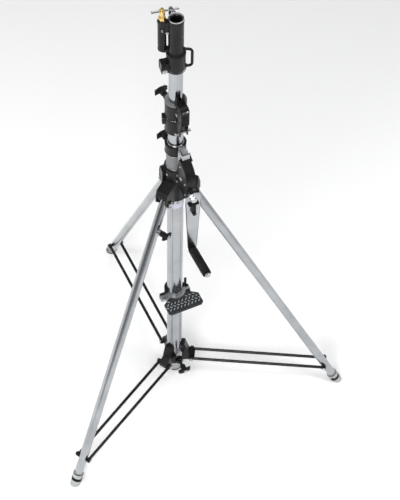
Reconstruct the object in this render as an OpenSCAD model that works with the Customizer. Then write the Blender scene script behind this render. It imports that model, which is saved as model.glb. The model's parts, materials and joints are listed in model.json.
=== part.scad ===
// Crank lighting stand: two risers wound up by a worm winch, on three folding legs.
// Origin on the floor under the column's axis, +Z up. Each part is drawn where it sits
// with the risers down and the legs open.

/* [Column and risers] */
// Outside diameter of the column tube
main_d = 50; // [42:0.5:62]
// Outside diameter of the first riser
riser_1_d = 45; // [37:0.5:56]
// Outside diameter of the second riser
riser_2_d = 40; // [32:0.5:50]
// Wall of the column and riser tubes
tube_wall = 2; // [1:0.25:2]
// Height of the column tube's lower end over the floor
main_base = 18; // [10:1:40]
// Height of the column tube's upper end
main_top = 1112; // [950:1:1340]
// Height of the tip of the first riser's tube
riser_1_top = 1255; // [1240:1:1500]
// Height of the tip of the second riser's tube
riser_2_top = 1505; // [1480:1:1800]

/* [Head] */
// Bore of the main socket
socket_bore_d = 28.6; // [20:0.1:30]
// Outside diameter of the main socket
socket_d = 43; // [39:0.5:52]
// Height of the main socket above its floor
socket_depth = 115; // [100:1:150]
// Bore of the side socket and diameter of its spigot
spigot_d = 16; // [10:0.1:17]
// Outside diameter of the side socket
side_d = 24; // [22:0.5:28]

/* [Legs] */
// Distance from the column's axis to each foot's middle
foot_radius = 552; // [460:1:680]
// Height of the leg pivots
leg_pivot_z = 935; // [915:1:960]
// Distance of the leg pivots from the column's axis
leg_pivot_r = 57; // [54:1:64]
// Outside diameter of the leg tubes
leg_d = 28; // [23:0.5:28]
// Wall of the leg tubes
leg_wall = 2; // [1:0.25:2.5]
// Diameter of the leg pivot bolts
leg_bolt_d = 10; // [7:0.5:12]

/* [Spreader] */
// Height of the brace pins on the sliding collar
spreader_z = 84; // [78:1:110]
// Height of the brace pins on the legs
brace_end_z = 91; // [80:1:130]
// Distance of the collar's brace pins from the column's axis
spreader_r = 58; // [54:1:66]
// Diameter of the brace rods
brace_d = 10; // [7:0.5:10]
// Diameter of the brace pins
brace_pin_d = 8; // [5:0.5:9]

/* [Step] */
// Height of the top face of the step
step_z = 424; // [330:1:450]
// Width of the step across the foot
step_w = 120; // [90:1:130]
// Distance from the column's axis to the step's outer edge
step_reach = 76; // [66:1:95]

/* [Winch] */
// Height of the crank's axis
crank_z = 1025; // [1018:1:1030]
// Distance from the column's axis to the crank arm's back face
crank_reach = 120; // [118:1:150]
// Distance between the crank's axis and its grip
crank_l = 235; // [180:1:290]
// Diameter of the grip
grip_d = 27; // [22:0.5:34]
// Length of the grip
grip_l = 100; // [80:1:120]
// Number of teeth on the worm wheel
wheel_teeth = 18; // [12:1:24]

/* [Fits] */
// Radial gap between a moving piece and its seat
run_fit = 0.08; // [0.02:0.01:0.1]
// Gap between pieces that are fixed to each other round a tube
seat_fit = 0.05; // [0.02:0.01:0.1]
// Gap between moving pieces that only pass each other
clear = 1; // [0.5:0.1:1.5]

/* [Hidden] */
$fn = 96;
far = 3000;

// Azimuths, counted from +X: legs, the winch side between two of them, and the fittings
near_az = -120;
right_az = 0;
rear_az = 120;
LEG_AZ = [near_az, right_az, rear_az];
front_az = -60;
knob_az = 132;
side_az = 186;
screw_az = 109;
loop_az = 6;
lug_az = 201;

// Column and its casting
main_r = main_d / 2;
main_bore = main_r - tube_wall;
casting_r = main_r + 8;
casting_z0 = leg_pivot_z - 18;
casting_z1 = leg_pivot_z + 115;
bush_r = main_r + 2.2;
ring_h = 38;
top_z = main_top + ring_h;
yoke_in = leg_d / 2 + clear;
yoke_out = yoke_in + 5;
yoke_reach = leg_pivot_r + 16;
band_h = 24;

// Risers
riser_1_r = riser_1_d / 2;
riser_1_bore = riser_1_r - tube_wall;
riser_1_base = main_base + 22;
riser_2_r = riser_2_d / 2;
riser_2_bore = riser_2_r - tube_wall;
riser_2_base = riser_1_base + 40;
collar_r = riser_1_r + 9;
collar_z0 = riser_1_top - 55;
collar_z1 = riser_1_top + 66;
knob_1_z = main_top + 12;
knob_2_z = collar_z1 - 21;
knob_reach = collar_r + 33;
knob_1_reach = knob_reach - 8;
knob_screw_r = 5;

// Head
socket_r = socket_d / 2;
socket_z0 = riser_2_top + 15;
socket_z1 = socket_z0 + socket_depth;
head_r = riser_2_r + 7;
head_z0 = riser_2_top - 62;
head_step = riser_2_top + 7;
side_r = side_d / 2;
side_x = socket_r + side_r + 4;
side_z1 = socket_z1 - 7;
side_z0 = socket_z0 - 5;
screw_z = socket_z1 - 23;
screw_boss = socket_r + 9;
tommy_x = socket_r + 36;
tommy_r = 3;

// Legs
leg_r = leg_d / 2;
leg_bore = leg_r - leg_wall;
leg_tilt = atan((foot_radius - leg_pivot_r) / leg_pivot_z);
leg_l = leg_pivot_z / cos(leg_tilt);
leg_over = 14;
leg_swing = norm([leg_over, leg_r]) + 1;
leg_bolt_r = leg_bolt_d / 2;
leg_cap = 42;
leveller_r = leg_bore - run_fit;
leveller_top = 28;
leveller_knob_at = 100;
foot_r = leg_r + 2.5;
foot_seat = 26;

// Spreader and braces
brace_r = brace_d / 2;
brace_pin_r = brace_pin_d / 2;
brace_off = leg_r + 1 + brace_r;
brace_end_r = foot_radius - brace_end_z * tan(leg_tilt);
brace_rise = atan((brace_end_z - spreader_z) / (brace_end_r - spreader_r));
brace_l = norm([brace_end_r - spreader_r, brace_end_z - spreader_z]);
eye_r = brace_pin_r + 4;
eye_w = brace_d;
spreader_ring = main_r + 6;
spreader_z0 = spreader_z - 22;
spreader_ring_h = 42;
spreader_arm = brace_off - brace_r - clear;
spreader_knob_z = spreader_z + 2;

// Winch, in a frame whose +X points out of the column at front_az
pulley_x = casting_r + 17;
wheel_r = 29.5;
worm_r = 9.3;
wheel_z = crank_z + wheel_r + worm_r + 0.2;
wheel_x = casting_r + 38;
wheel_w = 7;
shaft_r = 6;
case_in = 11.5;
case_wall = 2.5;
case_front = crank_reach - 14;
horn_r = 60;
horn_t = 3.5;
horn_x = case_front + horn_t - horn_r;
horn_z = crank_z + 50;
horn_from = pulley_x + 8;
drum_core = 25.8;
rope_r = 1.5;
pulley_z = top_z + 2;
pulley_r = 17.5;
pulley_groove = 16;

// Step clamp
clamp_r = main_r + 9;
clamp_h = 34;
clamp_z0 = step_z - 22;
step_t = 8;
step_in = main_r + 6;
step_shift = 8;
ear_x = clamp_r + 8;

// A ring or a length of tube round the Z axis
module ring(r_out, r_in, z0, z1) {
    translate([0, 0, z0]) difference() {
        cylinder(h = z1 - z0, r = r_out);
        translate([0, 0, -1]) cylinder(h = z1 - z0 + 2, r = r_in);
    }
}

// A rod along X, from x0 to x1
module x_rod(r, x0, x1) {
    translate([x0, 0, 0]) rotate([0, 90, 0]) cylinder(h = x1 - x0, r = r);
}

// A rod along Y, from y0 to y1
module y_rod(r, y0, y1) {
    translate([0, y0, 0]) rotate([-90, 0, 0]) cylinder(h = y1 - y0, r = r);
}

// An upright plate: an outline in X and Z, as thick as from y0 to y1
module upright(points, y0, y1) {
    translate([0, y1, 0]) rotate([90, 0, 0]) linear_extrude(y1 - y0) polygon(points);
}

// Turns its children to face out of the column at an azimuth
module facing(az) {
    rotate([0, 0, az]) children();
}

// Places its children in a leg's own frame: origin at the pivot, -Z down the leg
module on_leg(az) {
    facing(az) translate([leg_pivot_r, 0, leg_pivot_z]) rotate([0, -leg_tilt, 0]) children();
}

// A clamping knob that points along +X: screw, hub and a curved T-shaped wing
module t_knob(tip, reach, screw_r = knob_screw_r) {
    x_rod(screw_r, tip, reach - 12);
    x_rod(9, reach - 12, reach + 4);
    translate([reach + 4, 0, 0]) intersection() {
        rotate([90, 0, 90]) linear_extrude(9) square([44, 17], center = true);
        translate([-26, 0, -20]) cylinder(h = 40, r = 34);
    }
}

module main_tube() {
    color("gainsboro") ring(main_r, main_bore, main_base, main_top);
}

module tube_plug() {
    color("dimgray") {
        translate([0, 0, main_base - 6]) cylinder(h = 6, r = main_r);
        translate([0, 0, main_base]) cylinder(h = 9, r = main_bore - seat_fit);
    }
}

// The hood over one leg's upper end: two ears and a sloping roof
module yoke() {
    roof = [
        [main_r, leg_pivot_z + 68], [casting_r + 4, leg_pivot_z + 60], [leg_pivot_r + 10, leg_pivot_z + 46],
        [yoke_reach, leg_pivot_z + 23], [yoke_reach - 4, leg_pivot_z + 18],
        [leg_pivot_r + 6, leg_pivot_z + 37], [main_r, leg_pivot_z + 52]
    ];
    ear = [
        [main_r, leg_pivot_z + 68], [casting_r + 4, leg_pivot_z + 60], [leg_pivot_r + 10, leg_pivot_z + 46],
        [yoke_reach, leg_pivot_z + 23], [yoke_reach, leg_pivot_z + 1],
        [leg_pivot_r - 8, leg_pivot_z - 25], [casting_r - 4, casting_z0 + 4]
    ];
    upright(roof, -yoke_out, yoke_out);
    upright(ear, yoke_in, yoke_out);
    upright(ear, -yoke_out, -yoke_in);
}

module column_casting() {
    color([0.09, 0.09, 0.1]) difference() {
        union() {
            translate([0, 0, casting_z0]) cylinder(h = casting_z1 - casting_z0, r = casting_r);
            for (az = LEG_AZ) facing(az) yoke();
            facing(lug_az) translate([casting_r - 4, -11, casting_z1 - 52]) cube([14, 22, 40]);
        }
        translate([0, 0, casting_z0 - 1]) {
            cylinder(h = casting_z1 - casting_z0 + 2, r = main_r + seat_fit);
        }
        for (az = LEG_AZ) facing(az) translate([leg_pivot_r, 0, leg_pivot_z]) {
            y_rod(leg_bolt_r + seat_fit, -far, far);
            y_rod(leg_swing, -yoke_in, yoke_in);
        }
    }
}

module column_bush() {
    color([0.72, 0.74, 0.76]) ring(bush_r, main_r + seat_fit, casting_z1 + 4, main_top);
}

module bush_ring() {
    color("gainsboro") ring(bush_r + 1.8, main_r + seat_fit, casting_z1, casting_z1 + 4);
}

module top_ring() {
    color([0.09, 0.09, 0.1]) difference() {
        union() {
            translate([0, 0, main_top]) cylinder(h = ring_h, r = main_r + 6);
            facing(knob_az) translate([0, 0, knob_1_z]) x_rod(11, 0, knob_1_reach - 20);
        }
        translate([0, 0, main_top - 5]) cylinder(h = ring_h + 10, r = riser_1_r + run_fit);
        facing(knob_az) translate([0, 0, knob_1_z]) x_rod(knob_screw_r + run_fit, 0, far);
        translate([0, 0, main_top - 40]) cylinder(h = 40, r = main_r + 12);
    }
}

module lower_ring() {
    color("gainsboro") ring(main_r + 3, main_r + seat_fit, casting_z0 - 20, casting_z0);
}

module plain_band() {
    color([0.9, 0.9, 0.93]) ring(main_r + 0.8, main_r + seat_fit, casting_z0 - 20 - band_h, casting_z0 - 20);
}

module leg_bolts() {
    color("gainsboro") for (az = LEG_AZ) facing(az) translate([leg_pivot_r, 0, leg_pivot_z]) {
        y_rod(leg_bolt_r, -yoke_out, yoke_out);
        y_rod(leg_bolt_r + 4, yoke_out, yoke_out + 4);
        y_rod(leg_bolt_r + 3.5, -yoke_out - 5, -yoke_out);
    }
}

// Outline of the winch's cheek plates, in X and Z, with its front and top under the cover's curve
CHEEK = concat(
    [[casting_r, crank_z - 17], [case_front, crank_z - 17], [case_front, horn_z]],
    [for (a = [10:10:80]) [horn_x + (horn_r - horn_t) * cos(a), horn_z + (horn_r - horn_t) * sin(a)]],
    [[pulley_x + 2, horn_z + horn_r - 7], [pulley_x - 8, casting_z1 + 12], [casting_r, casting_z1 - 2]]
);

module winch_case() {
    color([0.1, 0.1, 0.11]) facing(front_az) difference() {
        union() {
            upright(CHEEK, case_in, case_in + case_wall);
            upright(CHEEK, -case_in - case_wall, -case_in);
            translate([casting_r - 8, -case_in, crank_z - 14]) cube([14, 2 * case_in, 28]);
            translate([case_front - 8, -case_in, crank_z - 14]) cube([8, 2 * case_in, 28]);
            translate([casting_r - 8, -case_in, crank_z - 17]) cube([case_front - casting_r + 8, 2 * case_in, 3]);
        }
        cylinder(h = far, r = casting_r + 0.1);
        translate([0, 0, crank_z]) x_rod(shaft_r + run_fit, 0, far);
        translate([wheel_x, 0, wheel_z]) y_rod(4 + run_fit, -far, far);
    }
}

// Side outline of the cover: a quarter circle with a straight front below it
module horn(r, half, low) {
    translate([horn_x, 0, horn_z]) y_rod(r, -half, half);
    translate([horn_x, -half, low]) cube([r, 2 * half, horn_z - low]);
}

// The curved cover: a channel that runs over the wheel and down the front
module winch_cover() {
    low = crank_z + 17;
    color([0.1, 0.1, 0.11]) facing(front_az) intersection() {
        difference() {
            horn(horn_r, case_in + case_wall + 1.4, low);
            horn(horn_r - horn_t + 0.1, case_in + case_wall + 0.1, low - 20);
        }
        translate([horn_from, -far / 2, low]) cube([far, far, far]);
    }
}

// A bright strap round the top pulley, with its pin
module pulley_strap() {
    color("gainsboro") facing(front_az) translate([pulley_x, 0, pulley_z]) {
        for (y = [-case_in + 0.1, case_in - 3.1]) {
            translate([0, y, 0]) y_rod(9, 0, 3);
            translate([-9, y, -52]) cube([16, 3, 52]);
        }
        translate([-9, -case_in + 0.1, -52]) cube([16, 2 * case_in - 0.2, 3]);
        for (y = [-case_in + 0.1, case_in - 3.1]) translate([0, y, -5]) cube([22, 3, 10]);
        translate([19.5, -case_in + 0.1, -9]) cube([3, 2 * case_in - 0.2, 18]);
        y_rod(3, -case_in - 1, case_in + 1);
    }
}

// A small catch beside the pulley: a black plate with a bright tip
module winch_catch() {
    color([0.1, 0.1, 0.11]) facing(front_az) translate([pulley_x - 6, case_in + case_wall + 1.5, pulley_z - 20]) {
        rotate([0, 35, 0]) cube([26, 8, 5]);
    }
}

module worm_shaft() {
    color("silver") facing(front_az) translate([0, 0, crank_z]) {
        x_rod(shaft_r, casting_r + 0.8, crank_reach + 12);
        for (x = [wheel_x - 22:5:wheel_x + 18]) x_rod(worm_r, x, x + 3);
        x_rod(worm_r - 2, wheel_x - 22, wheel_x + 21);
        x_rod(shaft_r + 5, case_front + clear, crank_reach);
    }
}

// Pressed arm: wide and round at the hub, narrow at the grip
module crank_arm() {
    top = 24;
    low = 13;
    color([0.85, 0.86, 0.87]) facing(front_az) translate([crank_reach, 0, crank_z]) difference() {
        union() {
            x_rod(top, 0, 4);
            translate([0, 0, -crank_l]) x_rod(low, 0, 4);
            rotate([0, 90, 0]) linear_extrude(4) {
                polygon([[0, top], [crank_l, low], [crank_l, -low], [0, -top]]);
            }
        }
        x_rod(shaft_r + seat_fit, -1, 9);
        translate([0, 0, -crank_l]) x_rod(6 + seat_fit, -1, 9);
    }
}

module crank_nut() {
    color("gainsboro") facing(front_az) translate([crank_reach + 4, 0, crank_z]) difference() {
        union() {
            x_rod(11, 0, 2);
            translate([2, 0, 0]) rotate([0, 90, 0]) cylinder(h = 6, r = 9.5, $fn = 6);
        }
        x_rod(shaft_r + seat_fit, -1, 20);
    }
}

// A black latch lies on the arm under the nut and lets the arm off its shaft
module crank_latch() {
    color([0.08, 0.08, 0.09]) facing(front_az) translate([crank_reach + 4.2, 0, crank_z - 14]) {
        difference() {
            union() {
                translate([0, -16, -8]) cube([7, 32, 6]);
                translate([0, -6, -44]) cube([7, 12, 37]);
                translate([0, 0, -44]) x_rod(6, 0, 11);
            }
        }
    }
}

module grip_spindle() {
    color("gainsboro") facing(front_az) translate([crank_reach, 0, crank_z - crank_l]) {
        x_rod(9, -3, 0);
        x_rod(6, 0, 4);
        x_rod(5, 4, grip_l + 9);
        x_rod(8.5, grip_l + 9, grip_l + 12);
    }
}

module grip() {
    color([0.07, 0.07, 0.08]) facing(front_az) translate([crank_reach + 4.5, 0, crank_z - crank_l]) {
        difference() {
            union() {
                x_rod(grip_d / 2, 3, grip_l + 1);
                x_rod(grip_d / 2 - 3, 0.5, grip_l + 4);
            }
            x_rod(5 + run_fit, -1, grip_l + 9);
        }
    }
}

module worm_wheel() {
    tooth = 360 / wheel_teeth;
    color([0.75, 0.6, 0.3]) facing(front_az) translate([wheel_x, 0, wheel_z]) difference() {
        union() {
            y_rod(wheel_r - 4, -wheel_w / 2, wheel_w / 2);
            for (i = [0:wheel_teeth - 1]) rotate([0, i * tooth, 0]) {
                translate([wheel_r - 6, -wheel_w / 2, -2]) cube([5.5, wheel_w, 4]);
            }
        }
        y_rod(4 + seat_fit, -far, far);
    }
}

module rope_drum() {
    color("silver") facing(front_az) translate([wheel_x, 0, wheel_z]) {
        y_rod(4, -case_in - case_wall, case_in + case_wall);
        difference() {
            union() {
                y_rod(drum_core, wheel_w / 2 + 0.1, case_in - 0.6);
                y_rod(drum_core + 3, case_in - 1.8, case_in - 0.6);
            }
            y_rod(4, -far, far);
        }
        y_rod(10, -case_in + 1, -wheel_w / 2 - 0.1);
    }
}

// Turns of wire rope on the drum
module rope_coil() {
    color([0.6, 0.61, 0.62]) facing(front_az) translate([wheel_x, 0, wheel_z]) rotate([-90, 0, 0]) {
        for (i = [0:1]) translate([0, 0, wheel_w / 2 + 1.65 + i * 2 * rope_r]) rotate_extrude() {
            translate([drum_core + rope_r + 0.05, 0]) circle(r = rope_r - 0.03, $fn = 24);
        }
    }
}

// A grooved wheel across its pin
module pulley(r, groove, pin) {
    rotate([-90, 0, 0]) difference() {
        rotate_extrude() polygon([
            [pin, -6], [r, -6], [r, -5], [groove, -1.5], [groove, 1.5], [r, 5], [r, 6], [pin, 6]
        ]);
        translate([0, 0, -10]) cylinder(h = 20, r = pin);
    }
}

module top_pulley() {
    color([0.15, 0.15, 0.16]) facing(front_az) translate([pulley_x, 0, pulley_z]) {
        pulley(pulley_r, pulley_groove, 3 + run_fit);
    }
}

module riser_1_tube() {
    color("gainsboro") ring(riser_1_r, riser_1_bore, riser_1_base, riser_1_top);
}

module riser_1_guide() {
    color([0.2, 0.2, 0.21]) {
        ring(main_bore - run_fit, riser_1_bore - 5, riser_1_base - 10, riser_1_base);
        ring(riser_1_bore - seat_fit, riser_1_bore - 5, riser_1_base, riser_1_base + 16);
    }
}

module riser_1_collar() {
    color([0.1, 0.1, 0.11]) difference() {
        union() {
            translate([0, 0, collar_z0]) cylinder(h = 6, r1 = collar_r - 4, r2 = collar_r);
            translate([0, 0, collar_z0 + 6]) cylinder(h = collar_z1 - collar_z0 - 6, r = collar_r);
            facing(knob_az) translate([0, 0, knob_2_z]) x_rod(11, 0, knob_reach - 20);
            facing(lug_az - 10) translate([collar_r - 4, -9, collar_z0 + 34]) cube([12, 18, 30]);
        }
        translate([0, 0, collar_z0 - 1]) {
            cylinder(h = riser_1_top - collar_z0 + 1, r = riser_1_r + seat_fit);
        }
        translate([0, 0, riser_1_top - 1]) {
            cylinder(h = collar_z1 - riser_1_top - 9, r = riser_2_r + run_fit);
        }
        translate([0, 0, collar_z1 - 10]) cylinder(h = 30, r = riser_2_r + 6);
        facing(knob_az) translate([0, 0, knob_2_z]) x_rod(knob_screw_r + run_fit, 0, far);
        for (z = [riser_1_top + 7]) translate([0, 0, z]) ring(far, collar_r - 0.8, 0, 2);
    }
}

module riser_2_bush() {
    color([0.55, 0.56, 0.58]) {
        ring(riser_2_r + 6 - seat_fit, riser_2_r + run_fit, collar_z1 - 10, collar_z1);
        ring(collar_r, riser_2_r + run_fit, collar_z1, collar_z1 + 3);
    }
}

// Side view of the pulley case on the first riser, in X and Z
pulley_case_x = collar_r + 13;
pulley_case_z = collar_z1 - 12;

module pulley_case() {
    x1 = collar_r + 32;
    z1 = collar_z1 + 18;
    z0 = collar_z0 + 74;
    w = 13;
    color([0.1, 0.1, 0.11]) facing(front_az) difference() {
        union() {
            difference() {
                union() {
                    upright([[0, z1], [x1 - 14, z1], [x1 - 14, z0], [0, z0]], -w, w);
                    translate([x1 - 14, 0, z1 - 14]) y_rod(14, -w, w);
                    translate([x1 - 14, -w, z0]) cube([14, 2 * w, z1 - 14 - z0]);
                }
                upright([[0, z1 - 3], [x1 - 14, z1 - 3], [x1 - 14, z0 - 1], [0, z0 - 1]], -w + 3, w - 3);
                translate([x1 - 14, 0, z1 - 14]) y_rod(11, -w + 3, w - 3);
                translate([x1 - 14, -w + 3, z0 - 1]) cube([11, 2 * w - 6, z1 - 13 - z0]);
            }
            for (y = [-w, w - 3]) {
                upright([[collar_r - 4, z0], [x1 - 6, z0], [x1 - 8, collar_z0 + 26],
                         [x1 - 22, collar_z0 + 26]], y, y + 3);
            }
            for (y = [-w, w - 5]) {
                upright([[riser_2_r + 4, z1 - 1], [riser_2_r + 16, z1 - 1], [riser_2_r + 12, z1 + 22],
                         [riser_2_r + 4, z1 + 24]], y, y + 5);
            }
        }
        translate([0, 0, collar_z0]) cylinder(h = collar_z1 - collar_z0 + 3.1, r = collar_r + 0.1);
        cylinder(h = far, r = riser_2_r + clear + 2);
        translate([pulley_case_x, 0, pulley_case_z]) y_rod(3 + run_fit, -far, far);
        translate([x1 - 15, 0, collar_z0 + 35]) y_rod(4 + seat_fit, -far, far);
    }
}

module case_bar() {
    color("gainsboro") facing(front_az) {
        translate([collar_r + 17, 0, collar_z0 + 35]) y_rod(4, -24, 24);
        translate([pulley_case_x, 0, pulley_case_z]) y_rod(3, -17, 17);
    }
}

module riser_pulley() {
    color([0.15, 0.15, 0.16]) facing(front_az) translate([pulley_case_x, 0, pulley_case_z]) {
        pulley(11.5, 10, 3 + run_fit);
    }
}

module riser_1_knob() {
    color([0.08, 0.08, 0.09]) facing(knob_az) translate([0, 0, knob_1_z]) {
        t_knob(riser_1_r + 0.5, knob_1_reach);
    }
}

module riser_2_knob() {
    color([0.08, 0.08, 0.09]) facing(knob_az) translate([0, 0, knob_2_z]) {
        t_knob(riser_2_r + 0.5, knob_reach);
    }
}

module riser_2_tube() {
    color("gainsboro") ring(riser_2_r, riser_2_bore, riser_2_base, riser_2_top);
}

module riser_2_guide() {
    color([0.2, 0.2, 0.21]) {
        ring(riser_1_bore - run_fit, riser_2_bore - 5, riser_2_base - 10, riser_2_base);
        ring(riser_2_bore - seat_fit, riser_2_bore - 5, riser_2_base, riser_2_base + 16);
    }
}

module head_casting() {
    color([0.1, 0.1, 0.11]) difference() {
        union() {
            translate([0, 0, head_z0]) cylinder(h = 10, r1 = head_r - 5, r2 = head_r);
            translate([0, 0, head_z0 + 10]) cylinder(h = head_step - head_z0 - 10, r = head_r);
            translate([0, 0, head_step]) cylinder(h = 4, r1 = head_r, r2 = socket_r);
            translate([0, 0, head_step]) cylinder(h = socket_z1 - head_step, r = socket_r);
            facing(side_az) {
                translate([side_x, 0, side_z0 + 5]) cylinder(h = side_z1 - side_z0 - 5, r = side_r);
                translate([side_x, 0, side_z0]) cylinder(h = 5, r1 = side_r - 5, r2 = side_r);
                translate([0, -9, side_z1 - 46]) cube([side_x, 18, 42]);
                translate([0, -9, side_z0]) cube([side_x, 18, 9]);
            }
            facing(screw_az) translate([0, 0, screw_z]) x_rod(10, 0, screw_boss);
            facing(lug_az) translate([head_r - 5, -13, head_z0 + 4]) cube([22, 26, 34]);
        }
        translate([0, 0, head_z0 - 1]) cylinder(h = riser_2_top - head_z0 + 1, r = riser_2_r + seat_fit);
        translate([0, 0, socket_z0]) cylinder(h = far, r = socket_bore_d / 2);
        translate([0, 0, socket_z1 - 5]) {
            cylinder(h = 5.01, r1 = socket_bore_d / 2, r2 = socket_r - 2.5);
        }
        facing(side_az) translate([side_x, 0, side_z1 - 75]) cylinder(h = far, r = spigot_d / 2 + run_fit);
        facing(side_az) translate([side_x, 0, side_z1 - 25]) rotate([0, 0, -76]) x_rod(3.5 + run_fit, 0, far);
        facing(screw_az) translate([0, 0, screw_z]) x_rod(knob_screw_r + run_fit, 0, far);
        facing(lug_az) translate([head_r + 9, 0, head_z0 + 15]) y_rod(4 + seat_fit, -far, far);
        translate([0, 0, head_step]) ring(far, head_r - 0.8, -1.2, 0);
    }
}

// Loop for a safety rope, bent from round rod
module rope_loop() {
    r = 4;
    bend = 11;
    out = head_r + 17;
    z0 = head_z0 + 14;
    z1 = head_step + 8;
    root = head_r + 0.1;
    color([0.1, 0.1, 0.11]) facing(loop_az) {
        difference() {
            union() {
                for (z = [z0, z1]) translate([0, 0, z]) x_rod(r, socket_r - 2, out - bend);
                translate([out, 0, z0 + bend]) cylinder(h = z1 - z0 - 2 * bend, r = r);
                translate([out - bend, 0, z1 - bend]) rotate([90, 0, 0]) {
                    rotate_extrude(angle = 90) translate([bend, 0]) circle(r = r, $fn = 32);
                }
                translate([out - bend, 0, z0 + bend]) rotate([90, 90, 0]) mirror([0, 1, 0]) {
                    rotate([0, 0, -90]) rotate_extrude(angle = 90) translate([bend, 0]) circle(r = r, $fn = 32);
                }
            }
            cylinder(h = head_step, r = root);
            cylinder(h = far, r = socket_r + 0.1);
        }
    }
}

module head_bolt() {
    color("gainsboro") facing(lug_az) translate([head_r + 9, 0, head_z0 + 15]) {
        y_rod(4, -13, 13);
        y_rod(7, 13, 19);
        y_rod(6.5, -18, -13);
    }
}

// Clamp screw of the main socket, with a cone-shaped head bored for the bar
module socket_screw() {
    color("gainsboro") facing(screw_az) translate([0, 0, screw_z]) difference() {
        union() {
            x_rod(knob_screw_r, socket_bore_d / 2 + 0.5, tommy_x - 12);
            translate([tommy_x - 14, 0, 0]) rotate([0, 90, 0]) cylinder(h = 20, r1 = 10, r2 = 6);
        }
        translate([tommy_x, 0, 0]) y_rod(tommy_r + seat_fit, -far, far);
    }
}

module tommy_bar() {
    color([0.35, 0.4, 0.42]) facing(screw_az) translate([tommy_x, 0, screw_z]) {
        y_rod(tommy_r, -22, 55);
        y_rod(tommy_r + 1, 51, 55);
        y_rod(tommy_r + 1, -22, -18);
    }
}

module spigot() {
    r = spigot_d / 2;
    color([0.8, 0.62, 0.3]) facing(side_az) translate([side_x, 0, 0]) {
        translate([0, 0, side_z1 - 74]) cylinder(h = 74, r = r);
        translate([0, 0, side_z1]) cylinder(h = 12, r = r + 2.2, $fn = 6);
        translate([0, 0, side_z1 + 12]) cylinder(h = 6, r = r - 2);
        translate([0, 0, side_z1 + 18]) cylinder(h = 14, r = r);
        translate([0, 0, side_z1 + 32]) cylinder(h = 8, r = r - 3);
    }
}

module spigot_screw() {
    color([0.08, 0.08, 0.09]) facing(side_az) translate([side_x, 0, side_z1 - 25]) rotate([0, 0, -76]) {
        x_rod(3.5, spigot_d / 2 + 0.5, side_r + 2);
        x_rod(8, side_r + 2, side_r + 12);
    }
}

// A leg tube bored for its pivot bolt
module leg_tube(az, end) {
    on_leg(az) difference() {
        rotate([180, 0, 0]) ring(leg_r, leg_bore, -leg_over, end);
        y_rod(leg_bolt_r + run_fit, -far, far);
    }
}

// A rubber foot on a leg's end, cut level with the floor
module leg_foot(az) {
    intersection() {
        on_leg(az) rotate([180, 0, 0]) difference() {
            translate([0, 0, leg_l - leg_cap]) cylinder(h = leg_cap + 30, r = foot_r);
            translate([0, 0, leg_l - leg_cap - 1]) {
                cylinder(h = leg_cap - foot_seat + 1, r = leg_r + seat_fit);
            }
        }
        translate([-far, -far, 0]) cube([2 * far, 2 * far, far]);
    }
}

module near_leg() {
    color("gainsboro") difference() {
        union() {
            leg_tube(near_az, leg_l - leg_cap - 2);
            on_leg(near_az) translate([0, 0, -leveller_knob_at]) difference() {
                y_rod(10, 4, leg_r + 8);
                translate([0, 0, -20]) cylinder(h = 40, r = leg_bore + 1);
            }
        }
        on_leg(near_az) translate([0, 0, -leveller_knob_at]) y_rod(knob_screw_r + run_fit, 0, 60);
    }
}

module leveller_tube() {
    color([0.8, 0.81, 0.82]) on_leg(near_az) rotate([180, 0, 0]) {
        ring(leveller_r, leveller_r - leg_wall, leveller_top, leg_l - foot_seat);
    }
}

module near_foot() {
    color([0.75, 0.77, 0.74]) intersection() {
        on_leg(near_az) rotate([180, 0, 0]) difference() {
            translate([0, 0, leg_l - leg_cap]) cylinder(h = leg_cap + 30, r = foot_r);
            translate([0, 0, leg_l - leg_cap - 1]) {
                cylinder(h = leg_cap - foot_seat + 1, r = leveller_r + seat_fit);
            }
        }
        translate([-far, -far, 0]) cube([2 * far, 2 * far, far]);
    }
}

module leveller_knob() {
    color([0.08, 0.08, 0.09]) on_leg(near_az) translate([0, 0, -leveller_knob_at]) rotate([0, 0, 90]) {
        t_knob(leveller_r + 0.5, leg_r + 22);
    }
}

module right_leg() {
    color("gainsboro") leg_tube(right_az, leg_l - foot_seat);
}

module right_foot() {
    color([0.75, 0.77, 0.74]) leg_foot(right_az);
}

module rear_leg() {
    color("gainsboro") leg_tube(rear_az, leg_l - foot_seat);
}

module rear_foot() {
    color([0.75, 0.77, 0.74]) leg_foot(rear_az);
}

// Two rods, one on each side of a leg, with eyes and the halves of a rivet at the leg's end
module brace_pair(az) {
    facing(az) translate([spreader_r, 0, spreader_z]) rotate([0, -brace_rise, 0]) {
        for (side = [-1, 1]) difference() {
            union() {
                translate([0, side * brace_off, 0]) x_rod(brace_r, 0, brace_l);
                for (x = [0, brace_l]) translate([x, side * brace_off, 0]) {
                    y_rod(eye_r, -eye_w / 2, eye_w / 2);
                }
                translate([brace_l, side * brace_off, 0]) {
                    y_rod(brace_pin_r, -eye_w / 2 - 0.6, eye_w / 2 + 0.6);
                    translate([0, side * (eye_w / 2 + 1.5), 0]) y_rod(eye_r - 2, -1.5, 1.5);
                }
            }
            y_rod(brace_pin_r + run_fit, -far, far);
        }
    }
}

module near_braces() {
    color([0.08, 0.08, 0.09]) brace_pair(near_az);
}

module right_braces() {
    color([0.08, 0.08, 0.09]) brace_pair(right_az);
}

module rear_braces() {
    color([0.08, 0.08, 0.09]) brace_pair(rear_az);
}

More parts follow.
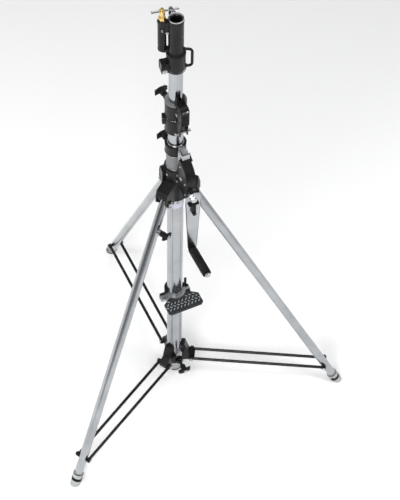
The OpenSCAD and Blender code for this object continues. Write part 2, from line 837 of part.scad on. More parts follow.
module spreader_collar() {
    arm = [
        [main_r - 8, spreader_z0], [spreader_r + 4, spreader_z - 12], [spreader_r + 11, spreader_z - 6],
        [spreader_r + 11, spreader_z + 8], [spreader_r - 10, spreader_z + 22],
        [main_r + 10, spreader_z + 66], [main_r - 8, spreader_z + 66]
    ];
    color([0.09, 0.09, 0.1]) difference() {
        union() {
            translate([0, 0, spreader_z0]) cylinder(h = spreader_ring_h, r = spreader_ring);
            for (az = LEG_AZ) facing(az) upright(arm, -spreader_arm, spreader_arm);
            facing(front_az) translate([0, 0, spreader_knob_z]) x_rod(12, 0, spreader_ring + 12);
        }
        translate([0, 0, -1]) cylinder(h = far, r = main_r + run_fit);
        for (az = LEG_AZ) facing(az) translate([spreader_r, 0, spreader_z]) {
            y_rod(brace_pin_r + seat_fit, -far, far);
        }
        facing(front_az) translate([0, 0, spreader_knob_z]) x_rod(knob_screw_r + run_fit, 0, far);
    }
}

module spreader_pins() {
    out = brace_off + eye_w / 2 + clear / 2;
    color("gainsboro") for (az = LEG_AZ) facing(az) translate([spreader_r, 0, spreader_z]) {
        y_rod(brace_pin_r, -out, out);
        for (y = [-out - 3, out]) y_rod(brace_pin_r + 2.5, y, y + 3);
    }
}

// Bright clamping shoe above the collar's ring
module spreader_shoe() {
    color("gainsboro") facing(front_az) difference() {
        translate([main_r - 2, -11, spreader_z0 + spreader_ring_h]) cube([12, 22, 22]);
        cylinder(h = far, r = main_r + 0.5);
    }
}

module spreader_knob() {
    color([0.08, 0.08, 0.09]) facing(front_az) translate([0, 0, spreader_knob_z]) {
        t_knob(main_r + 0.5, spreader_ring + 44);
    }
}

// Front half of the step's clamp, with its ears
module step_clamp() {
    color([0.5, 0.52, 0.52]) facing(front_az) difference() {
        union() {
            translate([0, 0, clamp_z0]) cylinder(h = clamp_h, r = clamp_r);
            translate([0.5, -ear_x - 8, clamp_z0 + 6]) cube([9, 2 * ear_x + 16, clamp_h - 12]);
        }
        cylinder(h = far, r = main_r + run_fit);
        translate([-far + 0.5, -far / 2, 0]) cube([far, far, far]);
        for (y = [-ear_x, ear_x]) translate([0, y, clamp_z0 + clamp_h / 2]) x_rod(4 + seat_fit, -20, 20);
    }
}

module step_plate() {
    half = step_w / 2;
    color([0.18, 0.19, 0.2]) facing(front_az) difference() {
        union() {
            translate([0, step_shift, step_z - step_t]) linear_extrude(step_t) polygon([
                [10, -27], [10, 27], [34, half], [step_reach - 7, half], [step_reach, half - 8],
                [step_reach, -half + 8], [step_reach - 7, -half], [34, -half]
            ]);
            for (y = [-22, 18]) {
                upright([[clamp_r - 2, step_z - step_t], [step_reach - 10, step_z - step_t],
                         [clamp_r - 2, clamp_z0 - 8]], y, y + 4);
            }
        }
        cylinder(h = far, r = clamp_r + 0.1);
        translate([0, -ear_x - 9, 0]) cube([14, 2 * ear_x + 18, far]);
    }
}

// Rear half of the step's clamp
module step_strap() {
    color([0.09, 0.09, 0.1]) facing(front_az) difference() {
        union() {
            translate([0, 0, clamp_z0 + 2]) cylinder(h = clamp_h + 12, r = clamp_r);
            translate([-9.5, -ear_x - 8, clamp_z0 + 6]) cube([9, 2 * ear_x + 16, clamp_h - 12]);
        }
        cylinder(h = far, r = main_r + run_fit);
        translate([-0.5, -far / 2, 0]) cube([far, far, far]);
        for (y = [-ear_x, ear_x]) translate([0, y, clamp_z0 + clamp_h / 2]) x_rod(4 + seat_fit, -20, 20);
    }
}

// Lever that tightens the step's clamp, on a screw through the ears
module step_lever() {
    color([0.1, 0.1, 0.11]) facing(front_az) {
        translate([0, ear_x, clamp_z0 + clamp_h / 2]) {
            x_rod(4 - 0.02, -9.4, 9.4);
            x_rod(8, 9.7, 13);
            x_rod(8, -14, -9.7);
            x_rod(4 - 0.02, -10, 10);
            translate([-14, -4, 0]) cube([4.2, 8, 42]);
        }
    }
}

main_tube();
tube_plug();
column_casting();
column_bush();
bush_ring();
top_ring();
lower_ring();
plain_band();
leg_bolts();
winch_case();
winch_cover();
pulley_strap();
winch_catch();
worm_shaft();
crank_arm();
crank_nut();
crank_latch();
grip_spindle();
grip();
worm_wheel();
rope_drum();
rope_coil();
top_pulley();
riser_1_tube();
riser_1_guide();
riser_1_collar();
riser_2_bush();
pulley_case();
case_bar();
riser_pulley();
riser_1_knob();
riser_2_knob();
riser_2_tube();
riser_2_guide();
head_casting();
rope_loop();
head_bolt();
socket_screw();
tommy_bar();
spigot();
spigot_screw();
near_leg();
leveller_tube();
near_foot();
leveller_knob();
right_leg();
right_foot();
rear_leg();
rear_foot();
near_braces();
right_braces();
rear_braces();
spreader_collar();
spreader_pins();
spreader_shoe();
spreader_knob();
step_clamp();
step_plate();
step_strap();
step_lever();
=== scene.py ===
"""Looks of the crank lighting stand: materials on every part, and the small fittings that ride on them."""

import json
import math

import bmesh
import bpy
from mathutils import Matrix, Vector


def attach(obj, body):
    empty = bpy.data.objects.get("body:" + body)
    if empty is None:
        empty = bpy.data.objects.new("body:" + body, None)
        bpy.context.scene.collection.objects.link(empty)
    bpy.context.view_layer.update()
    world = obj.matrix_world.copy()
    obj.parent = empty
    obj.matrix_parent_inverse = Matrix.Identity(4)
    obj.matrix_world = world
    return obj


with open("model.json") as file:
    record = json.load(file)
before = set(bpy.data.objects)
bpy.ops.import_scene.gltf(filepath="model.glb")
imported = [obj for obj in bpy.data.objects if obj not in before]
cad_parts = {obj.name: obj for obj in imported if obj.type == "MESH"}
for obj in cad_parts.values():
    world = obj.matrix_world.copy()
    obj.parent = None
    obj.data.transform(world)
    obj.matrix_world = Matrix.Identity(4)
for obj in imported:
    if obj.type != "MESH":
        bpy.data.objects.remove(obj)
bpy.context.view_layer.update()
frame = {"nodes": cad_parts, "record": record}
MM = 0.001

# Azimuths, in degrees, of what stands out from the column
WINCH, KNOBS, SIDE, SCREW, LUG = -60, 132, 186, 109, 201
LEGS = (("near", -120), ("right", 0), ("rear", 120))

# Places in the frame, in millimetres
PIVOT_R, PIVOT_Z, FOOT_R = 57, 935, 552
SIDE_X, SCREW_Z, TOMMY_X = 37.5, 1612, 57.5
CRANK_Z, GRIP_Z, ARM_X = 1025, 790, 122
PIN_R, PIN_Z, BRACE_LENGTH, BRACE_RISE = 58, 84, 445.88, 0.9
STEP, STEP_SHIFT, TREAD_PITCH = 424, 8, 12.4

TILT = math.degrees(math.atan((FOOT_R - PIVOT_R) / PIVOT_Z))
LEG_LENGTH = PIVOT_Z / math.cos(math.radians(TILT))


# ---------------------------------------------------------------- shader maths
class Value:
    """A node socket that takes part in sums."""

    def __init__(self, nodes, socket):
        self.nodes, self.socket = nodes, socket

    def _math(self, kind, a, b):
        return self.nodes.node("ShaderNodeMath", {0: a, 1: b}, operation=kind)

    def __add__(self, other):
        return self._math("ADD", self, other)

    def __radd__(self, other):
        return self._math("ADD", other, self)

    def __sub__(self, other):
        return self._math("SUBTRACT", self, other)

    def __rsub__(self, other):
        return self._math("SUBTRACT", other, self)

    def __mul__(self, other):
        return self._math("MULTIPLY", self, other)

    def __rmul__(self, other):
        return self._math("MULTIPLY", other, self)


class Nodes:
    """One material's nodes, with the one method that makes any node."""

    def __init__(self, name):
        self.material = bpy.data.materials.new(name)
        self.material.use_nodes = True
        self.tree = self.material.node_tree
        self.shader = self.tree.nodes["Principled BSDF"]
        self.coords = self.node("ShaderNodeTexCoord", out="Object")

    def put(self, socket, value):
        if isinstance(value, Value):
            self.tree.links.new(value.socket, socket)
        else:
            socket.default_value = value

    def node(self, kind, inputs=None, out=0, **settings):
        made = self.tree.nodes.new(kind)
        for key, value in settings.items():
            setattr(made, key, value)
        for key, value in (inputs or {}).items():
            self.put(made.inputs[key], value)
        return Value(self, made.outputs[out])

    def noise(self, scale, detail=3.0, stretch=(1, 1, 1), rough=0.55):
        where = self.node("ShaderNodeVectorMath", {0: self.coords, 1: stretch}, operation="MULTIPLY")
        return self.node("ShaderNodeTexNoise", {"Vector": where, "Scale": scale, "Detail": detail,
                                                "Roughness": rough}, out="Fac")

    def span(self, value, low, high, to_low=0.0, to_high=1.0):
        return self.node("ShaderNodeMapRange", {"Value": value, "From Min": low, "From Max": high,
                                                "To Min": to_low, "To Max": to_high})

    def mix(self, factor, a, b):
        return self.node("ShaderNodeMix", {0: factor, 6: a, 7: b}, out=2, data_type="RGBA")

    def bump(self, height, distance, strength=1.0):
        normal = self.node("ShaderNodeBump", {"Height": height, "Distance": distance, "Strength": strength})
        self.put(self.shader.inputs["Normal"], normal)

    def finish(self, **sockets):
        for key, value in sockets.items():
            self.put(self.shader.inputs[key.replace("_", " ")], value)
        return self.material


def rgb(r, g, b):
    return (r, g, b, 1.0)


def metal(name, base, dark, rough, streak=(1, 1, 0.02), grain=0.05):
    """Plated or bare metal: fine lengthwise marks, faint smudges and a few dull spots."""
    n = Nodes(name)
    marks = n.noise(900, 2, streak)
    smudge = n.noise(14, 4)
    spots = n.span(n.noise(260, 3), 0.62, 0.72)
    shade = n.mix(n.span(smudge, 0.35, 0.7) * 0.5 + spots * 0.35, base, dark)
    n.bump(marks, 0.00002, grain)
    return n.finish(Base_Color=shade, Metallic=1.0,
                    Roughness=rough + n.span(marks, 0.3, 0.7) * 0.05 + n.span(smudge, 0.4, 0.75) * 0.08)


def paint(name, base, light, rough, grain_scale, depth, coat=0.0):
    """Satin or gloss coating with an orange-peel surface, dusty patches and rubbed spots."""
    n = Nodes(name)
    peel = n.noise(grain_scale, 3)
    dust = n.noise(22, 5)
    rub = n.span(n.noise(150, 4), 0.63, 0.7)
    shade = n.mix(n.span(dust, 0.45, 0.8) * 0.5 + rub * 0.3, base, light)
    n.bump(peel, depth, 0.6)
    return n.finish(Base_Color=shade, Metallic=0.0, Coat_Weight=coat, Coat_Roughness=0.15,
                    Specular_IOR_Level=0.12,
                    Roughness=rough + n.span(dust, 0.4, 0.75) * 0.12 + n.span(peel, 0.3, 0.7) * 0.04)


DULL_BLACK, DUSTY_BLACK = rgb(0.007, 0.007, 0.0075), rgb(0.025, 0.025, 0.025)
M = {
    "chrome_tube": metal("chrome_tube", rgb(0.41, 0.425, 0.44), rgb(0.26, 0.27, 0.29), 0.12),
    "bright_steel": metal("bright_steel", rgb(0.50, 0.505, 0.52), rgb(0.3, 0.3, 0.32), 0.22, (1, 1, 1), 0.12),
    "wire_rope": metal("wire_rope", rgb(0.5, 0.51, 0.52), rgb(0.2, 0.2, 0.2), 0.35, (1, 1, 1), 0.6),
    "black_casting": paint("black_casting", rgb(0.006, 0.006, 0.0065), rgb(0.02, 0.02, 0.021), 0.26, 900,
                           0.00008, 0.12),
    "black_rod": paint("black_rod", rgb(0.006, 0.006, 0.006), rgb(0.02, 0.02, 0.02), 0.2, 1100, 0.00003, 0.3),
    "black_plastic": paint("black_plastic", DULL_BLACK, DUSTY_BLACK, 0.36, 1500, 0.00006),
    "grip_plastic": paint("grip_plastic", DULL_BLACK, DUSTY_BLACK, 0.42, 1300, 0.00006),
    "grey_plastic": paint("grey_plastic", rgb(0.16, 0.165, 0.17), rgb(0.26, 0.26, 0.27), 0.4, 1200, 0.00004),
    "pale_band": paint("pale_band", rgb(0.52, 0.51, 0.62), rgb(0.42, 0.42, 0.52), 0.28, 700, 0.00002, 0.3),
    "brass": metal("brass", rgb(0.86, 0.66, 0.28), rgb(0.55, 0.38, 0.14), 0.2, (1, 1, 1), 0.1),
    "grey_rubber": paint("grey_rubber", rgb(0.42, 0.44, 0.43), rgb(0.24, 0.25, 0.24), 0.45, 1400, 0.00012),
    "grey_casting": metal("grey_casting", rgb(0.36, 0.37, 0.37), rgb(0.2, 0.2, 0.2), 0.42, (1, 1, 1), 0.9),
    "step_paint": paint("step_paint", rgb(0.022, 0.025, 0.027), rgb(0.06, 0.063, 0.066), 0.38, 1000, 0.0001),
    # tread: the raised marks are real, but their light grey colour is a painted highlight for the light they
    # catch; the step itself is near black
    "tread": paint("tread", rgb(0.34, 0.36, 0.37), rgb(0.46, 0.48, 0.49), 0.3, 900, 0.00008),
}

for part in frame["record"]["subparts"]:
    thing = frame["nodes"][part["node"]]
    thing.data.materials.clear()
    thing.data.materials.append(M[part["material_slot"]])


# ---------------------------------------------------------------- mesh helpers
def move(x=0, y=0, z=0):
    return Matrix.Translation((x * MM, y * MM, z * MM))


def turn(angle, axis="Z"):
    return Matrix.Rotation(math.radians(angle), 4, axis)


def facing(azimuth, x=0, y=0, z=0):
    return turn(azimuth) @ move(x, y, z)


def on_leg(azimuth, down):
    """A place on a leg's own axis, measured down from its pivot."""
    return facing(azimuth, PIVOT_R, 0, PIVOT_Z) @ turn(-TILT, "Y") @ move(0, 0, -down)


ALONG_X = turn(90, "Y")
ALONG_Y = turn(-90, "X")
OUTWARD = {-1: turn(90, "X"), 1: ALONG_Y}


class Piece:
    """One new object, built from a few solids in millimetres."""

    def __init__(self, name, slot, body):
        self.name, self.slot, self.body = name, slot, body
        self.bm = bmesh.new()

    def _place(self, verts, where):
        bmesh.ops.transform(self.bm, matrix=where, verts=verts)

    def box(self, size, where=Matrix(), soft=0.4):
        made = bmesh.ops.create_cube(self.bm, size=1.0)["verts"]
        bmesh.ops.transform(self.bm, matrix=Matrix.Diagonal((*[s * MM for s in size], 1)), verts=made)
        edges = list({e for v in made for e in v.link_edges})
        cut = bmesh.ops.bevel(self.bm, geom=edges, offset=min(soft, min(size) * 0.3) * MM, segments=2,
                              profile=0.5, affect="EDGES", material=-1)
        verts = list({v for f in cut["faces"] for v in f.verts} | {v for v in made if v.is_valid})
        self._place(verts, where)
        return self

    def lathe(self, profile, where=Matrix(), steps=64):
        """Spins a closed outline of (radius, height) about the local Z axis."""
        verts = [self.bm.verts.new((r * MM, 0, z * MM)) for r, z in profile]
        edges = [self.bm.edges.new((a, b)) for a, b in zip(verts, verts[1:] + verts[:1])]
        before = set(self.bm.verts) - set(verts)
        bmesh.ops.spin(self.bm, geom=verts + edges, cent=(0, 0, 0), axis=(0, 0, 1), dvec=(0, 0, 0),
                       angle=math.tau, steps=steps, use_merge=True, use_duplicate=False)
        self._place([v for v in self.bm.verts if v not in before], where)
        return self

    def disc(self, radius, height, where=Matrix(), soft=0.5, steps=48, inner=0.02):
        """A round head or washer with softened edges, its base on the local XY plane."""
        c = min(soft, height * 0.45)
        return self.lathe([(inner, 0), (radius, 0), (radius, height - c),
                           (radius - c * 0.3, height - c * 0.3), (radius - c, height), (inner, height)],
                          where, steps)

    def bead(self, radius, thick, where=Matrix(), steps=96, sides=12):
        """A round wire bent into a ring."""
        return self.lathe([(radius + thick * math.cos(math.tau * i / sides),
                            thick * math.sin(math.tau * i / sides)) for i in range(sides)], where, steps)

    def hexagon(self, across, height, where=Matrix()):
        made = bmesh.ops.create_cone(self.bm, cap_ends=True, segments=6, radius1=across / 2 * MM,
                                     radius2=across / 2 * MM, depth=height * MM)["verts"]
        edges = list({e for v in made for e in v.link_edges})
        cut = bmesh.ops.bevel(self.bm, geom=edges, offset=0.4 * MM, segments=2, profile=0.5,
                              affect="EDGES", material=-1)
        verts = list({v for f in cut["faces"] for v in f.verts} | {v for v in made if v.is_valid})
        self._place(verts, where @ move(0, 0, height / 2))
        return self

    def done(self):
        bmesh.ops.remove_doubles(self.bm, verts=self.bm.verts, dist=1e-7)
        bmesh.ops.recalc_face_normals(self.bm, faces=self.bm.faces)
        mesh = bpy.data.meshes.new(self.name)
        self.bm.to_mesh(mesh)
        self.bm.free()
        mesh.polygons.foreach_set("use_smooth", [True] * len(mesh.polygons))
        mesh.set_sharp_from_angle(angle=math.radians(32))
        made = bpy.data.objects.new(self.name, mesh)
        bpy.context.scene.collection.objects.link(made)
        mesh.materials.append(M[self.slot])
        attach(made, self.body)
        self.slot in RECORD_SLOTS
        return made


RECORD_SLOTS = {m["slot"] for m in frame["record"]["materials"]}


def socket_head(piece, where, radius=4.5, height=4.0):
    """A cap screw: a cup with a six-sided socket, drawn as a ring round a dark recess."""
    piece.lathe([(radius * 0.55, height * 0.35), (radius * 0.55, height), (radius - 0.5, height),
                 (radius, height - 0.5), (radius, 0), (0.02, 0), (0.02, height * 0.35)], where, 36)


# ---------------------------------------------------------------- head
head = Piece("head_trim", "bright_steel", "riser_2")
head.lathe([(14.4, 1622), (14.4, 1630), (19.2, 1635.3), (20.6, 1635.9), (21.4, 1635.5), (21.7, 1634),
            (21.7, 1632.8), (20.9, 1633), (19.3, 1634.4), (17.8, 1633), (15.3, 1629.5), (15.0, 1622)])
head.done()

rims = Piece("head_rims", "black_casting", "riser_2")
rims.bead(27.2, 0.9, move(0, 0, 1449))
rims.bead(27.0, 0.8, move(0, 0, 1507))
rims.bead(21.6, 0.6, move(0, 0, 1625))
rims.bead(12.0, 0.7, facing(SIDE, SIDE_X, 0, 1626.5))
rims.bead(12.0, 0.5, facing(SIDE, SIDE_X, 0, 1524))
for z in (1457, 1520):
    rims.disc(5.8, 4, facing(6, 21.3 if z > 1512 else 26.6, 0, z) @ ALONG_X, 1.4)
for side in (-1, 1):
    rims.box((18, 1.6, 26), facing(LUG, 36, side * 13.2, 1464))
rims.lathe([(4.4, 0), (6.6, 0), (6.6, 1.5), (5.6, 2.4), (4.4, 2.4)],
           facing(SIDE, SIDE_X, 11.2, 1600) @ ALONG_Y)
rims.done()

pins = Piece("head_screws", "bright_steel", "riser_2")
for z in (1567, 1612):
    socket_head(pins, facing(50, 21.2, 0, z) @ ALONG_X, 3.2, 2.4)
pins.disc(4.6, 3.4, facing(SIDE, 23.6, 9.0, 1589) @ ALONG_Y, 1.6)
pins.disc(3.0, 1.2, facing(SIDE, SIDE_X, 12.2, 1600) @ ALONG_Y, 0.5)
pins.box((2.2, 6, 9), facing(SIDE, SIDE_X, 13.2, 1600) @ turn(24, "Y"), 0.7)
pins.disc(4.2, 1.8, facing(LUG, 36, 19, 1458) @ ALONG_Y, 1.2)
pins.bead(7.2, 0.7, facing(LUG, 36, 13.3, 1458) @ ALONG_Y)
pins.done()

cone = Piece("cone_rings", "bright_steel", "head_screw")
for x, r in ((44.5, 9.9), (48.5, 9.1), (60, 6.9)):
    cone.bead(r, 0.55, facing(SCREW, x, 0, SCREW_Z) @ ALONG_X)
cone.done()
bar_ends = Piece("bar_ends", "bright_steel", "head_screw")
for y in (-22, 51):
    bar_ends.bead(3.9, 0.5, facing(SCREW, TOMMY_X, y + 2, SCREW_Z) @ ALONG_Y)
bar_ends.disc(3.4, 0.9, facing(SCREW, TOMMY_X, 55, SCREW_Z) @ ALONG_Y, 0.4)
bar_ends.done()

stud = Piece("stud_rings", "brass", "stud")
for z in (1647.2, 1659.5, 1661.0):
    stud.bead(7.8, 0.4, facing(SIDE, SIDE_X, 0, z))
stud.bead(6.1, 0.4, facing(SIDE, SIDE_X, 0, 1643))
stud.lathe([(0.02, 1668), (3.8, 1668), (4.6, 1667.2), (4.9, 1666), (4.9, 1664), (0.02, 1664)],
           facing(SIDE, SIDE_X, 0, 0))
stud.done()
thumb = Piece("thumb_ridges", "black_plastic", "stud_screw")
for i in range(16):
    thumb.box((8.4, 1.1, 1.1),
              facing(SIDE, SIDE_X, 0, 1603) @ turn(-76) @ turn(i * 22.5, "X") @ move(19, 0, 8), 0.3)
thumb.done()


# ---------------------------------------------------------------- first riser's collar
collar = Piece("collar_rims", "black_casting", "riser_1")
collar.bead(31.4, 1.0, move(0, 0, 1207))
collar.bead(31.4, 0.9, move(0, 0, 1259.5))
collar.bead(31.4, 0.9, move(0, 0, 1266.5))
collar.bead(31.0, 0.9, move(0, 0, 1318))
for z in range(1278, 1316, 6):
    collar.box((2.4, 23, 2.2), facing(WINCH, 63.6, 0, z), 0.8)
for side in (-1, 1):
    collar.box((24, 1.4, 2.6), facing(WINCH, 46, side * 13.3, 1330), 0.6)
    collar.box((22, 1.4, 2.6), facing(WINCH, 46, side * 13.3, 1282), 0.6)
collar.done()
shine = Piece("collar_line", "bright_steel", "riser_1")
shine.bead(30.5, 0.7, move(0, 0, 1263))
for side in (-1, 1):
    shine.disc(5.2, 1.6, facing(WINCH, 44.5, side * 17 - (1.6 if side < 0 else 0), 1309) @ ALONG_Y, 0.6)
    shine.bead(4.3, 0.6, facing(WINCH, 48.5, side * 22.5, 1235) @ ALONG_Y)
    socket_head(shine, facing(WINCH, 31.4, side * 6, 1218) @ ALONG_X, 2.6, 2)
shine.box((1.4, 18, 12), facing(WINCH, 60.6, 0, 1331.5) @ turn(-42, "Y"), 0.6)
shine.disc(3.2, 1.6, facing(LUG - 10, 39.3, 0, 1249) @ ALONG_X, 0.6)
shine.done()


# ---------------------------------------------------------------- clamping knobs
KNOB_SEATS = [
    ("column_knob", facing(KNOBS, 0, 0, 1124), 56.5), ("collar_knob", facing(KNOBS, 0, 0, 1300), 64.5),
    ("low_knob", facing(WINCH, 0, 0, 86), 75), ("level_knob", on_leg(-120, 100) @ turn(90), 36),
]
for body, seat, reach in KNOB_SEATS:
    cap = Piece(body + "_cap", "bright_steel", body)
    cap.lathe([(0.02, 0), (6.2, 0), (6.2, 1.0), (5.4, 1.7), (0.02, 2.0)],
              seat @ move(reach + 12.4, 0, 0) @ ALONG_X, 40)
    cap.done()
    ribs = Piece(body + "_ribs", "black_plastic", body)
    ribs.bead(9.0, 0.7, seat @ move(reach - 10, 0, 0) @ ALONG_X)
    ribs.bead(9.0, 0.7, seat @ move(reach - 6, 0, 0) @ ALONG_X)
    for side in (-1, 1):
        for k in (13, 17):
            ribs.box((6.4, 1.6, 17.6), seat @ move(reach + 8, side * k, 0), 0.6)
    ribs.done()


# ---------------------------------------------------------------- column, winch and pulley
casting = Piece("casting_rims", "black_casting", "column")
for z in (919, 1046):
    casting.bead(33.0, 1.2, move(0, 0, z))
casting.bead(31.0, 1.0, move(0, 0, 1115))
casting.bead(31.0, 1.0, move(0, 0, 1148))
for _, azimuth in LEGS:
    for side in (-1, 1):
        casting.disc(13, 2.4, facing(azimuth, PIVOT_R, side * 20 - (2.4 if side < 0 else 0), PIVOT_Z)
                     @ ALONG_Y, 1)
        casting.box((2.2, 3.4, 52), facing(azimuth, 35.5, side * 18.2, 968), 0.9)
    casting.box((3, 30, 3), facing(azimuth, 69.4, 0, 971) @ turn(75, "Y"), 1)
casting.done()

steel = Piece("column_screws", "bright_steel", "column")
for _, azimuth in LEGS:
    steel.hexagon(13, 3.2, facing(azimuth, PIVOT_R, 24, PIVOT_Z) @ ALONG_Y)
    socket_head(steel, facing(azimuth, 33.0, -6, 1030) @ ALONG_X, 3.2, 2.2)
for side in (-1, 1):
    for x, y, z, r in ((42, 14, 1022, 3.6), (98, 14, 1022, 3.6), (98, 15.4, 1068, 3.0), (66, 15.4, 1112, 3.0),
                       (44, 14, 1050, 3.0)):
        steel.disc(r, 2, facing(WINCH, x, side * y, z) @ OUTWARD[side], 0.7)
    steel.disc(6.5, 2.6, facing(WINCH, 71, side * 15.4, 1064) @ OUTWARD[side], 1)
    steel.disc(4.4, 2, facing(WINCH, 50, side * 12.5, 1152) @ OUTWARD[side], 0.6)
steel.bead(28.8, 0.7, move(0, 0, 1052))
for z in (900, 914):
    steel.bead(28.0, 0.5, move(0, 0, z))
steel.lathe([(22.8, 1150.0), (24.4, 1150.0), (24.8, 1150.4), (24.4, 1150.9), (22.8, 1150.9)])
steel.bead(31.1, 0.45, move(0, 0, 1112.5))
steel.done()

cover = Piece("cover_ribs", "black_casting", "column")
for y in (-14, 0, 14):
    for i in range(17):
        a = math.radians(2 + i * 4.6)
        cover.box((4.9, 2.4, 1.6), facing(WINCH, 49.5 + 60 * math.cos(a), y, 1075 + 60 * math.sin(a))
                  @ turn(90 - math.degrees(a), "Y"), 0.6)
    cover.box((1.6, 2.4, 31), facing(WINCH, 109.5, y, 1058.5), 0.6)
cover.done()
cover_edge = Piece("cover_edge", "bright_steel", "column")
cover_edge.box((1.2, 30, 1.6), facing(WINCH, 109.6, 0, 1043.2), 0.5)
cover_edge.disc(2.6, 1.5, facing(WINCH, 109.4, 7, 1050) @ ALONG_X, 0.5)
cover_edge.box((1.4, 27, 1.2), facing(WINCH, 58.3, 0, 1133.6), 0.4)
cover_edge.done()

column_band = Piece("band_lines", "chrome_tube", "column")
for z in (874, 896):
    column_band.bead(25.8, 0.35, move(0, 0, z))
column_band.done()

plug = Piece("plug_rim", "black_plastic", "column")
plug.bead(25.0, 1.0, move(0, 0, 15))
plug.done()


# ---------------------------------------------------------------- crank
arm = Piece("crank_trim", "bright_steel", "crank")
for y in (-14, 14):
    arm.bead(2.4, 0.6, facing(WINCH, 124, y, 1039) @ ALONG_X, 32, 8)
arm.box((0.8, 32, 1.6), facing(WINCH, 124.1, 0, 975), 0.3)
arm.disc(6.4, 1.2, facing(WINCH, 128, 0, CRANK_Z) @ ALONG_X, 0.5)
arm.lathe([(0.02, 0), (8.3, 0), (8.3, 0.8), (6.8, 2.2), (0.02, 2.8)], facing(WINCH, 232, 0, GRIP_Z) @ ALONG_X)
arm.done()
# Strips along both flanged sides of the arm, coloured black as painted shade for the flanges' shaded side
# faces.
painted_shade_edge = Piece("crank_edges_painted_shade", "black_plastic", "crank")
lean = math.degrees(math.atan2(11, CRANK_Z - GRIP_Z))
for side in (-1, 1):
    painted_shade_edge.box((4.6, 1.0, 214), facing(WINCH, ARM_X, side * 18.6, 907) @ turn(-side * lean, "X"), 0.3)
painted_shade_edge.done()
latch = Piece("latch_ridges", "black_plastic", "latch")
for i in range(4):
    latch.box((1.4, 26, 1.0), facing(WINCH, 131.4, 0, 1004 + i * 1.6), 0.3)
latch.box((1.2, 5, 26), facing(WINCH, 131.4, 0, 986), 0.4)
latch.done()
handle = Piece("grip_ribs", "grip_plastic", "grip_sleeve")
for i in range(13):
    handle.bead(13.4, 0.8, facing(WINCH, 134 + i * 7, 0, GRIP_Z) @ ALONG_X, 64, 10)
handle.done()


# ---------------------------------------------------------------- legs, braces and collar
for name, azimuth in LEGS[1:] + LEGS[:1]:
    body = "leveller" if name == "near" else "leg_" + name
    foot = Piece(name + "_foot_rings", "black_plastic", body)
    foot.lathe([(15, 0), (16.6, 0), (17.2, 0.8), (17.2, 3.4), (16.6, 4.2), (15, 4.2)],
               on_leg(azimuth, LEG_LENGTH - 37.6))
    foot.lathe([(16.4, 0), (17.0, 0.4), (17.0, 10.6), (16.4, 11)], on_leg(azimuth, LEG_LENGTH - 13))
    foot.done()
    pad = Piece(name + "_foot_screw", "black_plastic", body)
    for side in (-1, 1):
        pad.disc(3.2, 1.4, on_leg(azimuth, LEG_LENGTH - 27) @ move(0, side * 16.0 - (1.4 if side < 0 else 0))
                 @ ALONG_Y, 0.5)
    pad.done()
near_end = Piece("leg_end_ring", "bright_steel", "leg_near")
near_end.bead(14.0, 0.8, on_leg(-120, 1012))
near_end.done()

for name, azimuth in LEGS:
    seat = facing(azimuth, PIN_R, 0, PIN_Z) @ turn(-BRACE_RISE, "Y")
    heads = Piece(name + "_rivets", "bright_steel", "brace_" + name)
    for side in (-1, 1):
        heads.lathe([(0.02, 0), (5.4, 0), (4.6, 1.4), (2.6, 2.3), (0.02, 2.6)],
                    seat @ move(BRACE_LENGTH, side * 28, 0) @ OUTWARD[side], 36)
    heads.done()

low = Piece("collar_low_trim", "black_casting", "spreader")
for z in (64, 102):
    low.bead(31.0, 1.1, move(0, 0, z))
for _, azimuth in LEGS:
    for side in (-1, 1):
        low.disc(9.5, 0.7, facing(azimuth, PIN_R, side * 14 - (0.7 if side < 0 else 0), PIN_Z) @ ALONG_Y,
                 0.3, inner=4.2)
low.done()
low_pins = Piece("collar_pin_heads", "bright_steel", "spreader")
for _, azimuth in LEGS:
    for side in (-1, 1):
        low_pins.lathe([(0.02, 0), (5.6, 0), (4.8, 1.2), (2.6, 2.0), (0.02, 2.3)],
                       facing(azimuth, PIN_R, side * 28.4, PIN_Z) @ OUTWARD[side], 36)
for y in (-6, 6):
    socket_head(low_pins, facing(WINCH, 35, y, 115) @ ALONG_X, 2.6, 2)
low_pins.done()


# ---------------------------------------------------------------- step
# Raised tread marks: real bumps on the step, coloured light grey as a painted highlight standing in for the
# light they catch.
tread = Piece("step_tread_painted_highlight", "tread", "step")
OUTLINE = [(10, -27), (34, -60), (69, -60), (76, -52), (76, 52), (69, 60), (34, 60), (10, 27)]


def on_plate(x, y, margin):
    """Whether a tread mark fits on the plate, clear of its edge, its clamp and its notches."""
    for (ax, ay), (bx, by) in zip(OUTLINE, OUTLINE[1:] + OUTLINE[:1]):
        length = math.hypot(bx - ax, by - ay)
        if ((bx - ax) * (y - ay) - (by - ay) * (x - ax)) / length < margin:
            return False
    notch = x < 14 + margin and abs(y + STEP_SHIFT) < 51 + margin
    return math.hypot(x, y + STEP_SHIFT) > 34 + margin and not notch


for i in range(7):
    for k in range(-5, 6):
        x, y = 19 + i * TREAD_PITCH * 0.86, (k + i % 2 * 0.5) * TREAD_PITCH
        if on_plate(x, y, 4.0):
            tread.box((8.4, 2.4, 1.1), facing(WINCH, x, y + STEP_SHIFT, STEP + 0.3)
                      @ turn(50 if i % 2 else -40), 0.4)
tread.done()
step_rim = Piece("step_rim", "step_paint", "step")
SHRINK = 0.985
for (ax, ay), (bx, by) in zip(OUTLINE, OUTLINE[1:] + OUTLINE[:1]):
    if ax == bx == 10:
        continue
    middle = ((ax + bx) / 2, (ay + by) / 2)
    angle = math.degrees(math.atan2(by - ay, bx - ax))
    step_rim.box((math.hypot(bx - ax, by - ay), 1.6, 8.4),
                 facing(WINCH, middle[0] * SHRINK, middle[1] * SHRINK + STEP_SHIFT, STEP - 3.8)
                 @ turn(angle), 0.6)
step_rim.done()
step_bolts = Piece("step_bolts", "bright_steel", "step")
step_bolts.hexagon(13, 5, facing(WINCH, 9.6, -42, STEP - 5) @ ALONG_X)
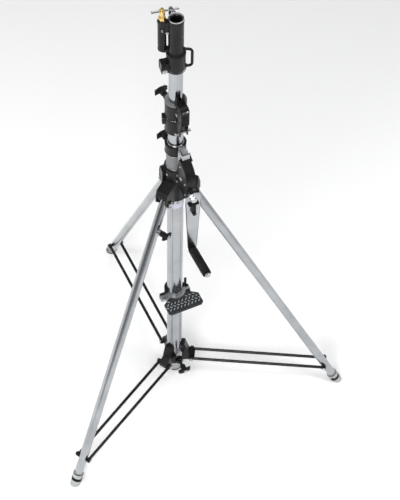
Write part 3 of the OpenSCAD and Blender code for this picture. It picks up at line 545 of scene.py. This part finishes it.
step_bolts.hexagon(13, 4, facing(WINCH, -9.6, -42, STEP - 5) @ turn(-90, "Y"))
step_bolts.done()
strap = Piece("strap_rims", "black_casting", "step")
strap.box((2, 12, 30), facing(WINCH, -33, 0, STEP + 2), 0.8)
strap.done()


# ---------------------------------------------------------------- floor, light and camera
def floor():
    bpy.ops.mesh.primitive_plane_add(size=300, location=(0, 0, -0.002))
    made = bpy.context.object
    made.name = "floor"
    n = Nodes("floor")
    made.data.materials.append(n.finish(Base_Color=n.mix(n.noise(0.4, 2), rgb(0.93, 0.93, 0.93),
                                                         rgb(0.95, 0.95, 0.95)), Roughness=0.9))


def area(name, azimuth, elevation, distance, size, power):
    light = bpy.data.lights.new(name, "AREA")
    light.shape, light.size, light.size_y, light.energy = "RECTANGLE", size[0], size[1], power
    made = bpy.data.objects.new(name, light)
    bpy.context.scene.collection.objects.link(made)
    a, e = math.radians(azimuth), math.radians(elevation)
    at = Vector((math.cos(a) * math.cos(e), math.sin(a) * math.cos(e), math.sin(e))) * distance
    made.location = at + Vector((0, 0, 0.8))
    made.rotation_mode = "QUATERNION"
    made.rotation_quaternion = (-at).to_track_quat("-Z", "Y")


def camera():
    """The photograph's viewpoint: high and far, looking well down."""
    round_z, heading, down, roll = (math.radians(v) for v in (5.105, 1.374, 50.174, 1.344))
    place = Vector((3.090 * math.sin(round_z), -3.090 * math.cos(round_z), 4.592))
    h = heading - round_z
    ahead = Vector((math.sin(h) * math.cos(down), math.cos(h) * math.cos(down), -math.sin(down)))
    right = ahead.cross(Vector((0, 0, 1))).normalized()
    up = right.cross(ahead)
    side = math.cos(roll) * right + math.sin(roll) * up
    top = math.cos(roll) * up - math.sin(roll) * right
    data = bpy.data.cameras.new("camera")
    data.sensor_width, data.lens, data.shift_y = 36.0, 36.0 * 1612.1 / 500, -0.10
    data.clip_start, data.clip_end = 0.05, 500
    made = bpy.data.objects.new("camera", data)
    made.matrix_world = Matrix.Translation(place) @ Matrix((side, top, -ahead)).transposed().to_4x4()
    bpy.context.scene.collection.objects.link(made)
    bpy.context.scene.camera = made


floor()
sky = bpy.data.objects.new("sky", bpy.data.lights.new("sky", "SUN"))
sky.data.energy, sky.data.angle = 1.1, math.radians(120)
bpy.context.scene.collection.objects.link(sky)
world = bpy.data.worlds.new("studio")
bpy.context.scene.world = world
world.use_nodes = True
world.node_tree.nodes["Background"].inputs[0].default_value = rgb(0.95, 0.97, 1.0)
world.node_tree.nodes["Background"].inputs[1].default_value = 0.1
area("key", -100, 38, 3.6, (1.8, 1.8), 100)
area("left_strip", -165, 20, 3.2, (0.5, 2.6), 45)
area("right_strip", -15, 22, 3.2, (0.5, 2.6), 40)
area("top", 60, 75, 4.0, (2.0, 2.0), 30)
bpy.context.scene.view_settings.view_transform = "Standard"
camera()
